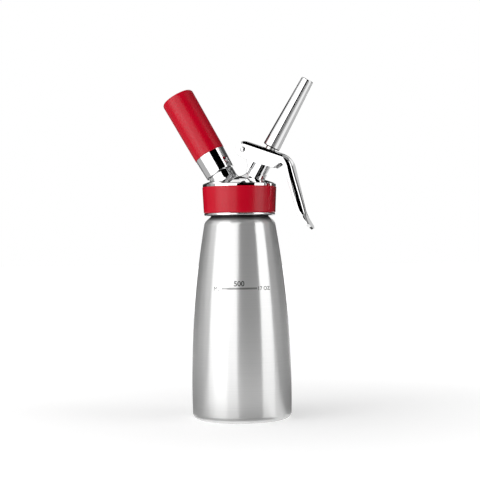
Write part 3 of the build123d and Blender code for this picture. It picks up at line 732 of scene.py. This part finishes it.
# ride: body, slot, frame of the screw's axis and start along it; sizes as in size_names
threads = {
    "neck_thread": {
        "ride": ("bottle", "bottle_steel", Matrix(), 0.1715),
        "sizes": (0.0240, 0.0040, 0.0120, 0.0012, 0.0002, 0.0026, 0.0009),
    },
    "charger_thread": {
        "ride": ("head", "polished_steel", charger_frame, 0.0334),
        "sizes": (0.0099, 0.0020, 0.0116, 0.0005, 0.0001, 0.0014, 0.0004),
    },
    "stem_thread": {
        "ride": ("valve", "plain_steel", valve_frame, 0.0566),
        "sizes": (0.00365, 0.00125, 0.0074, 0.00042, 0.0001, 0.0009, 0.00025),
    },
}
for name, thread in threads.items():
    body, slot, axis_frame, along = thread["ride"]
    sizes = {**dict(zip(size_names, thread["sizes"])), "Finish": finishes[slot]}
    place = axis_frame @ Matrix.Translation((0, 0, along))
    piece = baked(name, thread_tree, sizes, place, thread_edge)
    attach(piece, body)

# %% [markdown]
# ## Valve spring
# The spring that closes the valve is wound with its first and last turn closed, so that it stands
# square on the bush and on the stem's collar. The tree winds a flat coil and then lifts each
# point: by a little more than the wire in the closed turns, and by the open pitch between them. A
# spiral node alone would give one pitch all the way.

# %% Spring tree
coil_steps = 40
wire_sides = 14
closed_pitch = 1.05

spring_sizes = ("Radius", "Turns", "Height", "Wire")
spring_inputs = {**dict.fromkeys(spring_sizes, number), "Finish": finish}
spring_tree, size = new_tree("closed_spring", spring_inputs)
start = Value(spring_tree)
coil = start.node(
    "GeometryNodeCurveSpiral",
    None,
    {
        "Resolution": coil_steps,
        "Rotations": size["Turns"],
        "Start Radius": size["Radius"],
        "End Radius": size["Radius"],
        "Height": 0.0,
        "Reverse": True,
    },
)
turn = start.node("GeometryNodeSplineParameter", out="Factor") * size["Turns"]
open_turns = {"Value": turn, "From Min": 1.0, "From Max": size["Turns"] - 1.0}
opening = start.node("ShaderNodeMapRange", {"clamp": True}, open_turns)
closed_step = size["Wire"] * closed_pitch
rise = closed_step * turn + (size["Height"] - closed_step * size["Turns"]) * opening
lifted = start.node("ShaderNodeCombineXYZ", None, {"Z": rise})
coil = start.node("GeometryNodeSetPosition", None, {"Geometry": coil, "Offset": lifted})
coil = start.node("GeometryNodeSetCurveNormal", {"mode": "Z_UP"}, {"Curve": coil})
round_wire = {"Resolution": wire_sides, "Radius": size["Wire"] * 0.5}
section = start.node("GeometryNodeCurvePrimitiveCircle", None, round_wire)
swept = {"Curve": coil, "Profile Curve": section, "Fill Caps": True}
close_tree(start.node("GeometryNodeCurveToMesh", None, swept), size["Finish"])
print(spring_tree.name, len(spring_tree.nodes), "nodes")

# %% [markdown]
# The wound spring takes the place of the plain one in the frame. In the whipper, when the valve
# opens, its collar comes down 2.2 mm and the spring flattens toward the bush, on which it stands.
# That stroke leaves 0.858 of the height over the bush. Here the spring is one rigid piece on the
# head.

# %% Valve spring
spring_foot = 0.0335
spring_edge = radians(60)
sizes = {"Radius": 0.00505, "Turns": 8.0, "Height": 0.014517, "Wire": 0.0009, "Finish": wire}
place = valve_frame @ Matrix.Translation((0, 0, spring_foot))
spring = baked("wound_spring", spring_tree, sizes, place, spring_edge)
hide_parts("valve_spring")
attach(spring, "head")
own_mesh(spring)

# %% [markdown]
# ## Fill mark
# A line shows how far the bottle may be filled. The number over it and the marks at its ends give
# that volume, in millilitres and in ounces. The marks are etched: the steel is darker there and a
# hair's breadth proud. In the bottle's material they would need a picture, so they are pieces of
# their own. They are first laid out flat, as a bar and as letters, and made a mesh.

# %% Flat marks
proud = 0.00003
same_point = 0.0001


def flat_line(length, width):
    """A line lying along x."""
    shape = bmesh.new()
    sizes = Matrix.Diagonal((length, width, 2 * proud, 1))
    bmesh.ops.create_cube(shape, size=1.0, matrix=sizes)
    return shape


def flat_words(words, cap, weight):
    """Letters of a height, made bolder by a weight, centred on x = 0 and standing on y = 0."""
    font = bpy.data.curves.new(words, "FONT")
    font.body = words
    font.extrude = 1.0
    font.offset = weight
    carrier = bpy.data.objects.new(words, font)
    bpy.context.collection.objects.link(carrier)
    made = carrier.evaluated_get(bpy.context.evaluated_depsgraph_get())
    mesh = bpy.data.meshes.new_from_object(made)
    bpy.data.objects.remove(carrier)
    shape = bmesh.new()
    shape.from_mesh(mesh)
    bmesh.ops.remove_doubles(shape, verts=shape.verts[:], dist=same_point)
    across = [vert.co.x for vert in shape.verts]
    up = [vert.co.y for vert in shape.verts]
    scale = cap / (max(up) - min(up))
    centred = Matrix.Translation((-(max(across) + min(across)) / 2, -min(up), 0))
    sized = Matrix.Diagonal((scale, scale, proud, 1))
    bmesh.ops.transform(shape, matrix=sized @ centred, verts=shape.verts[:])
    return shape


# %% [markdown]
# Then they are wrapped on the bottle. It isn't a plain cylinder, so a Bend modifier wouldn't fit.
# Instead, the flat shapes are cut into strips a millimetre wide, and a ray toward the bottle's axis
# finds the steel for every point.

# %% Wrap them on the bottle
strip = 0.001
ray_start = 0.1
mark_height = 0.1094


def on_bottle(angle, height):
    """The point of the bottle's wall at an azimuth and height, and the way out from there."""
    outward = Vector((sin(angle), -cos(angle), 0))
    outside = outward * ray_start + Vector((0, 0, height))
    return nodes["bottle"].ray_cast(outside, -outward)[1], outward


mark_radius = on_bottle(eye_azimuth, mark_height)[0].xy.length
print(f"the marks lie {1000 * mark_radius:.2f} mm from the bottle's axis")


def etched(name, marks, material):
    """One piece from flat marks, each with its middle round the bottle and its height."""
    whole = bmesh.new()
    for shape, along, height in marks:
        left = min(vert.co.x for vert in shape.verts)
        right = max(vert.co.x for vert in shape.verts)
        for k in range(1, int((right - left) / strip) + 1):
            cells = shape.verts[:] + shape.edges[:] + shape.faces[:]
            cut = (left + k * strip, 0, 0)
            bmesh.ops.bisect_plane(shape, geom=cells, plane_co=cut, plane_no=(1, 0, 0))
        for vert in shape.verts:
            angle = eye_azimuth + (vert.co.x + along) / mark_radius
            place, outward = on_bottle(angle, height + vert.co.y)
            vert.co = place + outward * vert.co.z
        bmesh.ops.recalc_face_normals(shape, faces=shape.faces[:])
        wrapped = bpy.data.meshes.new(name)
        shape.to_mesh(wrapped)
        whole.from_mesh(wrapped)
        shape.free()
    open_edges = sum(not edge.is_manifold for edge in whole.edges)
    print(name, len(whole.faces), "faces,", open_edges, "open edges")
    mesh = bpy.data.meshes.new(name)
    whole.to_mesh(mesh)
    whole.free()
    mesh.materials.append(material)
    piece = bpy.data.objects.new(name, mesh)
    bpy.context.collection.objects.link(piece)
    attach(piece, "bottle")


# %% The line and its volumes
line_length, line_width = 0.0297, 0.0015
line_shift = -0.0012
large_cap, small_cap = 0.0044, 0.0032
plain, bold = 0.0, 0.022
number_height = mark_height + 0.0018
end_height = mark_height - small_cap / 2
end_words = 0.0203
etched("fill_line", [(flat_line(line_length, line_width), line_shift, mark_height)], etched_grey)
words = [
    (flat_words("500", large_cap, bold), line_shift, number_height),
    (flat_words("ML", small_cap, plain), -end_words, end_height),
    (flat_words("17 OZ", small_cap, bold), end_words, end_height),
]
etched("fill_letters", words, etched_dark)
